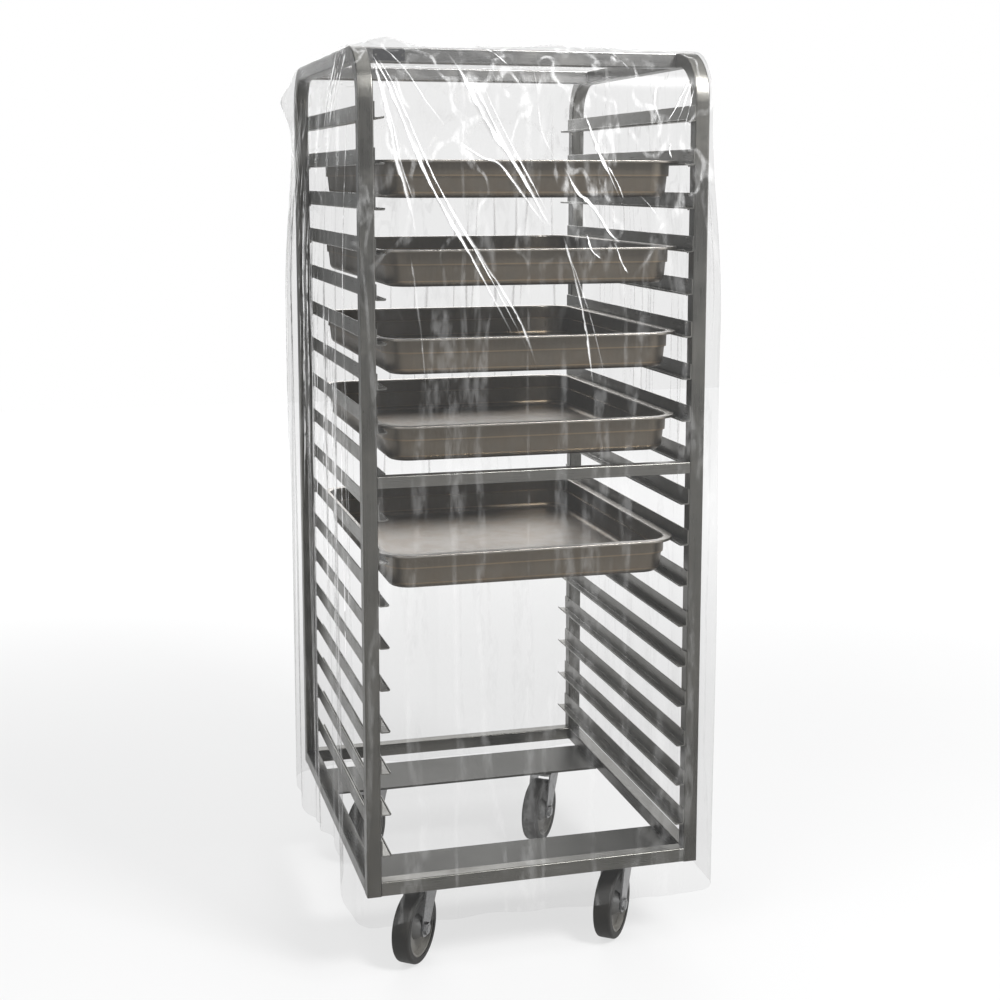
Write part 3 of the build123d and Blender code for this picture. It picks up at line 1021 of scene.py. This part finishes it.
    def _pinches(self) -> Iterable[tuple[Wall, Pinch]]:
        """Yields every pinched fold with the wall that it is on."""
        for pinch in FRONT_PINCHES:
            yield Wall.FRONT, pinch
        for group in SCATTERS:
            for index in range(group.count):
                yield group.wall, self._scattered(group, index)
        for index in range(self.fan_count):
            reach = 0.05 + 0.012 * index
            knot = (-0.30 + 0.03 * (index % 4), 0.004)
            tip = (knot[0] + reach * 0.8, knot[1] + reach * 0.9)
            middle = ((knot[0] + tip[0]) / 2 + 0.006, (knot[1] + tip[1]) / 2)
            yield Wall.LEFT, Pinch((knot, middle, tip), 0.006, 0.8)

    @staticmethod
    def _scattered(group: Scatter, index: int) -> Pinch:
        """Returns one of the folds that are spread over a wall."""
        drift = noise.noise(Vector((index * 3.7, group.seed * 1.3, 0.5)))
        lean = 0.045 * noise.noise(Vector((index * 1.9, 7.0, group.seed)))
        along = group.half * (2 * ((index * GOLDEN) % 1.0) - 1)
        top = 0.03 + 0.50 * ((index * GOLDEN * GOLDEN) % 1.0)
        length = 0.35 + 0.9 * abs(drift)
        path = (
            (along, top),
            (along + lean * 0.3 + 0.01 * drift, top + length * 0.35),
            (along + lean * 0.7 - 0.01 * drift, top + length * 0.7),
            (along + lean, top + length),
        )
        return Pinch(path, 0.006 + 0.013 * abs(drift), 0.55 + 0.45 * abs(drift))

    def _ribbon(self, wall: Wall, pinch: Pinch, number: int) -> bpy.types.Object:
        """Lays one pinched fold on its wall.

        Args:
            wall: the wall that it is on.
            pinch: the fold.
            number: which fold it is.

        Returns:
            A narrow tapering ridge, with its strength in the attribute "crease" and the side
            of the fold in "flank", which the finish uses to paint one side lit and the other shaded.
        """
        deselect()
        bpy.ops.mesh.primitive_grid_add(x_subdivisions=4, y_subdivisions=self.pinch_steps, size=2.0)
        ribbon = bpy.context.object
        ribbon.name = f"pinch_{number:02d}"
        strengths, flanks = [], []
        for vertex in ribbon.data.vertices:
            u, t = vertex.co.x, (vertex.co.y + 1) / 2
            taper = self._ease(t * 5.0) * self._ease((1 - t) * 3.0)
            flutter = 1 + 0.5 * noise.noise(Vector((t * 9.0, number * 2.1, 0.0)))
            here, ahead = pinch.at(max(t - 0.01, 0.0)), pinch.at(min(t + 0.01, 1.0))
            across = Vector((ahead[1] - here[1], here[0] - ahead[0])).normalized()
            shift = u * pinch.width * self.pinch_spread * (0.35 + 0.65 * taper) * flutter
            along, down = pinch.at(t)
            rise = self.pinch_lift + self.pinch_rise * (1 - abs(u)) * taper
            vertex.co = self._on_wall(
                wall, along + across.x * shift, max(down + across.y * shift, 0.001), rise
            )
            patch = 0.75 + 0.6 * noise.noise(Vector((t * 5.0, number * 1.7, 5.0)))
            strengths.append((1 - abs(u)) * taper * pinch.strength * min(1.0, max(0.2, patch)))
            # Side of the fold, which the finish paints lit or shaded.
            flanks.append(0.5 + 0.5 * u)
        for name, values in (("crease", strengths), ("flank", flanks)):
            marks = ribbon.data.attributes.new(name, "FLOAT", "POINT")
            marks.data.foreach_set("value", values)
        return ribbon

    def _on_wall(self, wall: Wall, along: float, down: float, rise: float) -> Vector:
        """Returns a point a little outside a wall of the film."""
        way = -1.0 if wall in (Wall.FRONT, Wall.LEFT) else 1.0
        if wall in (Wall.FRONT, Wall.BACK):
            along = min(max(along, -self.wide), self.wide)
            if down < self.bend_radius:
                turn = math.acos(1 - down / self.bend_radius)
                y = way * (self.bend_start + self.bend_radius * turn)
                outwards = Vector((0.0, way * math.sin(turn), math.cos(turn)))
                return self.lie(along, y, 0.0) + outwards * rise
            height = self.top - self.hem
            fallen = (down - self.bend_radius) / (height - self.bend_radius) * height
            return self.lie(along, way * self.deep, fallen) + Vector((0.0, way * rise, 0.0))
        along = min(max(along, -self.deep), self.deep)
        return self.lie(way * self.wide, along, down) + Vector((way * rise, 0.0, 0.0))


@dataclass(frozen=True)
class SoftBox:
    """One square soft light."""

    name: str
    spot: Point
    side: float
    watts: float


SOFT_BOXES = (
    SoftBox("key_box", (-2.6, -2.2, 3.0), 2.2, 95.0),
    SoftBox("fill_box", (3.2, -2.4, 1.8), 2.4, 45.0),
    SoftBox("back_box", (0.5, 3.4, 2.6), 2.6, 80.0),
    SoftBox("top_box", (0.0, 0.0, 4.2), 3.0, 55.0),
    SoftBox("bend_box", (1.35, -2.4, 3.3), 1.0, 200.0),  # lights the arches' right-hand bend
)


@dataclass
class Studio:
    """Pale floor, soft lights and the camera."""

    lens_mm: float = 58.88
    stand_at: Point = (-0.773, -2.922, 1.351)
    yaw: float = 15.36  # degrees, turned right from straight ahead
    dip: float = 8.35  # degrees below level
    shift: float = -0.08
    floor_side: float = 14.0
    sensor_mm: float = 36.0
    sees_to: float = 60.0
    lit_point: Point = (0.0, 0.0, 0.8)  # where the soft boxes point
    cast: Colour = (0.96, 0.98, 1.0)
    cast_strength: float = 0.3

    def build(self) -> None:
        """Makes the floor, the lights, the surroundings and the camera."""
        self._floor()
        self._lights()
        self._surroundings()
        self._camera()

    def _floor(self) -> None:
        """Lays the floor."""
        deselect()
        bpy.ops.mesh.primitive_grid_add(x_subdivisions=8, y_subdivisions=8, size=self.floor_side)
        floor = bpy.context.object
        floor.name = "studio_floor"
        dress(floor, PaleFloor().make())

    def _lights(self) -> None:
        """Hangs the soft boxes."""
        for box in SOFT_BOXES:
            data = bpy.data.lights.new(box.name, "AREA")
            data.shape = "SQUARE"
            data.size = box.side
            data.energy = box.watts
            lamp = bpy.data.objects.new(box.name, data)
            lamp.location = box.spot
            aim = Vector(self.lit_point) - Vector(box.spot)
            lamp.rotation_euler = aim.to_track_quat("-Z", "Y").to_euler()
            bpy.context.scene.collection.objects.link(lamp)

    def _surroundings(self) -> None:
        """Lights everything evenly, with a white backdrop behind the rack."""
        world = bpy.data.worlds.new("surroundings")
        world.use_nodes = True
        tree = world.node_tree
        tree.nodes.clear()
        output = tree.nodes.new("ShaderNodeOutputWorld")
        seen = tree.nodes.new("ShaderNodeBackground")
        seen.inputs["Color"].default_value = (1.0, 1.0, 1.0, 1.0)
        seen.inputs["Strength"].default_value = 1.0
        cast = tree.nodes.new("ShaderNodeBackground")
        cast.inputs["Color"].default_value = (*self.cast, 1.0)
        cast.inputs["Strength"].default_value = self.cast_strength
        path = tree.nodes.new("ShaderNodeLightPath")
        mix = tree.nodes.new("ShaderNodeMixShader")
        tree.links.new(path.outputs["Is Camera Ray"], mix.inputs[0])
        tree.links.new(cast.outputs[0], mix.inputs[1])
        tree.links.new(seen.outputs[0], mix.inputs[2])
        tree.links.new(mix.outputs[0], output.inputs[0])
        bpy.context.scene.world = world
        bpy.context.scene.view_settings.view_transform = "Standard"

    def _camera(self) -> None:
        """Stands the camera in front of the rack, a little to its left."""
        data = bpy.data.cameras.new("camera")
        data.lens = self.lens_mm
        data.sensor_width = self.sensor_mm
        data.shift_y = self.shift
        data.clip_end = self.sees_to
        camera = bpy.data.objects.new("camera", data)
        camera.location = self.stand_at
        camera.rotation_euler = Euler(
            (math.radians(90.0 - self.dip), 0.0, math.radians(-self.yaw)), "XYZ"
        )
        bpy.context.scene.collection.objects.link(camera)
        bpy.context.scene.camera = camera


def main() -> None:
    """Builds the studio and every sub-assembly in order."""
    logging.basicConfig(level=logging.INFO, format="%(message)s")
    Studio().build()
    WeldedFrame().dress()
    LedgeRails().dress()
    LOG.info("laid %s", WeldBeads().build().name)
    Pans().dress()
    Castors().dress()
    film = FilmCover().build()
    LOG.info("draped %s with %d faces", film.name, len(film.data.polygons))


if __name__ == "__main__":
    main()
